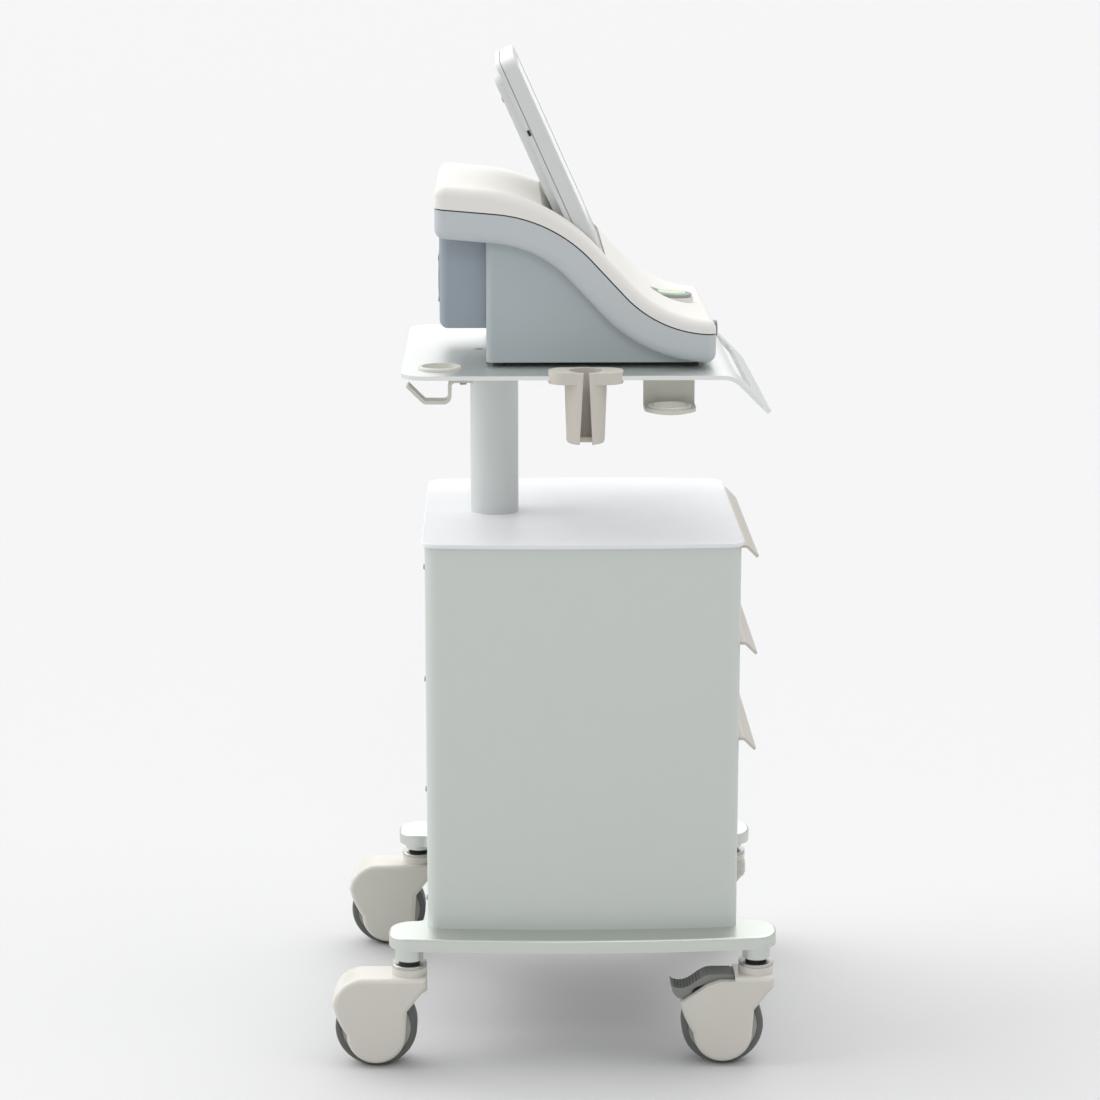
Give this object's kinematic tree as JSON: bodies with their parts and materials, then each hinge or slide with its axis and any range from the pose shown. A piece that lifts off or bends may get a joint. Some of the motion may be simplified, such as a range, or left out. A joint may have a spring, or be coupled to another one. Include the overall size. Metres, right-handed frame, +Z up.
{
  "type": "ultrasound machine on a cart",
  "caption": "Cart-mounted ultrasound machine: tilting display on an S-shaped console, over a work shelf, column and drawer cabinet on swivel casters.",
  "frame": {"origin": "on the floor, in the middle of the machine's length and width", "axes": "+X towards the operator, the side the drawers open; +Z up; +Y across"},
  "size_m": [0.543, 0.492, 1.218],
  "materials": {
    "frame_coat": "light powder coat",
    "plated_steel": "zinc plated",
    "caster_plastic": "moulded, slightly glossy",
    "pedal_plastic": "moulded, ribbed",
    "hub_plastic": "moulded",
    "tread": "smooth dark tread",
    "cabinet_coat": "fine textured powder coat",
    "front_panel": "smooth moulded panel",
    "drawer_steel": "galvanised sheet",
    "pull_coat": "warm grey coat",
    "shelf_coat": "white powder coat",
    "column_coat": "grey-white coat",
    "holder_plastic": "warm grey moulding",
    "upper_shell_plastic": "fine texture",
    "lower_shell_plastic": "fine texture",
    "pedestal_plastic": "fine texture",
    "block_plastic": "fine texture",
    "dark_rubber": "soft feet",
    "circuit_board": "green solder mask",
    "supply_case": "bare case",
    "dark_plastic": "moulded",
    "port_metal": "anodised",
    "ring_plastic": "grey ring",
    "button_plastic": "coloured cap",
    "display_plastic": "fine texture",
    "screen_glass": "dark touch glass"
  },
  "bodies": {
    "machine": {"back_and_floor": "cabinet_coat", "base_frame": "frame_coat", "button_ring": "ring_plastic", "cabinet_top": "cabinet_coat", "cable_grommet": "holder_plastic", "cable_hook": "pull_coat", "caster_stems": "plated_steel", "column": "column_coat", "connector_block": "block_plastic", "corner_posts": "drawer_steel", "fan_frame": "dark_plastic", "fasteners": "plated_steel", "handpiece_holder": "holder_plastic", "handpiece_port": "port_metal", "hinge_brackets": "plated_steel", "holder_ring": "holder_plastic", "lower_shell": "lower_shell_plastic", "main_board": "circuit_board", "pedestal": "pedestal_plastic", "power_inlet": "dark_plastic", "power_supply": "supply_case", "ring_bracket": "pull_coat", "rubber_feet": "dark_rubber", "side_panel_left": "cabinet_coat", "side_panel_right": "cabinet_coat", "slide_rails": "drawer_steel", "upper_shell": "upper_shell_plastic", "work_shelf": "shelf_coat"},
    "swivel_front_left": {"caster_hood_front_left": "caster_plastic"},
    "wheel_front_left": {"wheel_hub_front_left": "hub_plastic", "tyre_front_left": "tread"},
    "swivel_front_right": {"caster_hood_front_right": "caster_plastic"},
    "wheel_front_right": {"wheel_hub_front_right": "hub_plastic", "tyre_front_right": "tread"},
    "swivel_rear_left": {"caster_hood_rear_left": "caster_plastic"},
    "wheel_rear_left": {"wheel_hub_rear_left": "hub_plastic", "tyre_rear_left": "tread"},
    "swivel_rear_right": {"caster_hood_rear_right": "caster_plastic"},
    "wheel_rear_right": {"wheel_hub_rear_right": "hub_plastic", "tyre_rear_right": "tread"},
    "pedal_front_left": {"brake_pedal_front_left": "pedal_plastic"},
    "pedal_front_right": {"brake_pedal_front_right": "pedal_plastic"},
    "drawer_top": {"drawer_tray_top": "drawer_steel", "drawer_front_top": "front_panel", "drawer_pull_top": "pull_coat", "drawer_runners_top": "drawer_steel"},
    "drawer_middle": {"drawer_tray_middle": "drawer_steel", "drawer_front_middle": "front_panel", "drawer_pull_middle": "pull_coat", "drawer_runners_middle": "drawer_steel"},
    "drawer_bottom": {"drawer_tray_bottom": "drawer_steel", "drawer_front_bottom": "front_panel", "drawer_pull_bottom": "pull_coat", "drawer_runners_bottom": "drawer_steel"},
    "display": {"display_bezel": "display_plastic", "display_cover": "display_plastic", "touch_screen": "screen_glass", "hinge_arms": "plated_steel"},
    "stop_button": {"stop_button": "button_plastic"},
    "fan_rotor": {"fan_rotor": "dark_plastic"}
  },
  "joints": [
    {"name": "swivel_rear_left", "type": "hinge", "parent": "machine", "child": "swivel_rear_left", "pos_m": [-0.1775, -0.216, 0.1155], "axis": [0, 0, 1], "continuous": true},
    {"name": "roll_rear_left", "type": "hinge", "parent": "swivel_rear_left", "child": "wheel_rear_left", "pos_m": [-0.2185, -0.216, 0.05], "axis": [0, 1, 0], "continuous": true},
    {"name": "swivel_rear_right", "type": "hinge", "parent": "machine", "child": "swivel_rear_right", "pos_m": [-0.1775, 0.216, 0.1155], "axis": [0, 0, 1], "continuous": true},
    {"name": "roll_rear_right", "type": "hinge", "parent": "swivel_rear_right", "child": "wheel_rear_right", "pos_m": [-0.2185, 0.216, 0.05], "axis": [0, 1, 0], "continuous": true},
    {"name": "swivel_front_left", "type": "hinge", "parent": "machine", "child": "swivel_front_left", "pos_m": [0.2465, -0.216, 0.1155], "axis": [0, 0, 1], "continuous": true},
    {"name": "roll_front_left", "type": "hinge", "parent": "swivel_front_left", "child": "wheel_front_left", "pos_m": [0.2055, -0.216, 0.05], "axis": [0, 1, 0], "continuous": true},
    {"name": "brake_front_left", "type": "hinge", "parent": "swivel_front_left", "child": "pedal_front_left", "pos_m": [0.2105, -0.216, 0.1065], "axis": [0, -1, 0], "range_deg": [0, 8]},
    {"name": "swivel_front_right", "type": "hinge", "parent": "machine", "child": "swivel_front_right", "pos_m": [0.2465, 0.216, 0.1155], "axis": [0, 0, 1], "continuous": true},
    {"name": "roll_front_right", "type": "hinge", "parent": "swivel_front_right", "child": "wheel_front_right", "pos_m": [0.2055, 0.216, 0.05], "axis": [0, 1, 0], "continuous": true},
    {"name": "brake_front_right", "type": "hinge", "parent": "swivel_front_right", "child": "pedal_front_right", "pos_m": [0.2105, 0.216, 0.1065], "axis": [0, -1, 0], "range_deg": [0, 8]},
    {"name": "drawer_top_slide", "type": "slide", "parent": "machine", "child": "drawer_top", "axis": [1, 0, 0], "range_m": [0, 0.25]},
    {"name": "drawer_middle_slide", "type": "slide", "parent": "machine", "child": "drawer_middle", "axis": [1, 0, 0], "range_m": [0, 0.25]},
    {"name": "drawer_bottom_slide", "type": "slide", "parent": "machine", "child": "drawer_bottom", "axis": [1, 0, 0], "range_m": [0, 0.25]},
    {"name": "display_tilt", "type": "hinge", "parent": "machine", "child": "display", "pos_m": [0.0429, 0, 0.9918], "axis": [0, 1, 0], "range_deg": [-5, 10]},
    {"name": "stop_button_press", "type": "slide", "parent": "machine", "child": "stop_button", "axis": [-0.0523, 0, -0.9986], "range_m": [0, 0.003], "stiffness_N_per_m": 800, "springref_m": -0.001},
    {"name": "fan_spin", "type": "hinge", "parent": "machine", "child": "fan_rotor", "pos_m": [-0.1215, -0.05, 0.95], "axis": [1, 0, 0], "continuous": true}
  ]
}
